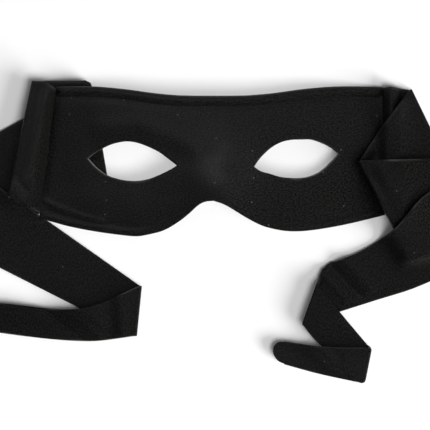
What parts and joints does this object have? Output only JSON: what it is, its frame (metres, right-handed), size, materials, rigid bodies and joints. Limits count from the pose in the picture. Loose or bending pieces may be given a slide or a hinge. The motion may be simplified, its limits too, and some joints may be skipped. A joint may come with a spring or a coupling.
{
  "type": "domino mask with cloth ties",
  "caption": "Half-face cloth eye mask with almond eye holes, a raised nose bridge and long tapering ties, lying face up with its ties folded.",
  "frame": {"origin": "middle of the footprint, on the surface that the mask lies on", "axes": "+X along the mask to the wearer's left, +Y up the face, +Z out of the face and up from the surface"},
  "size_m": [0.2676, 0.1346, 0.0242],
  "materials": {
    "mask_cloth": "black bonded felt-like cloth, moulded, matt with a faint nap",
    "tie_cloth": "black woven crepe cloth, matt, with a fine diagonal weave"
  },
  "bodies": {
    "root": {"mask_front": "mask_cloth", "tie_left": "tie_cloth", "tie_right": "tie_cloth"}
  },
  "joints": []
}
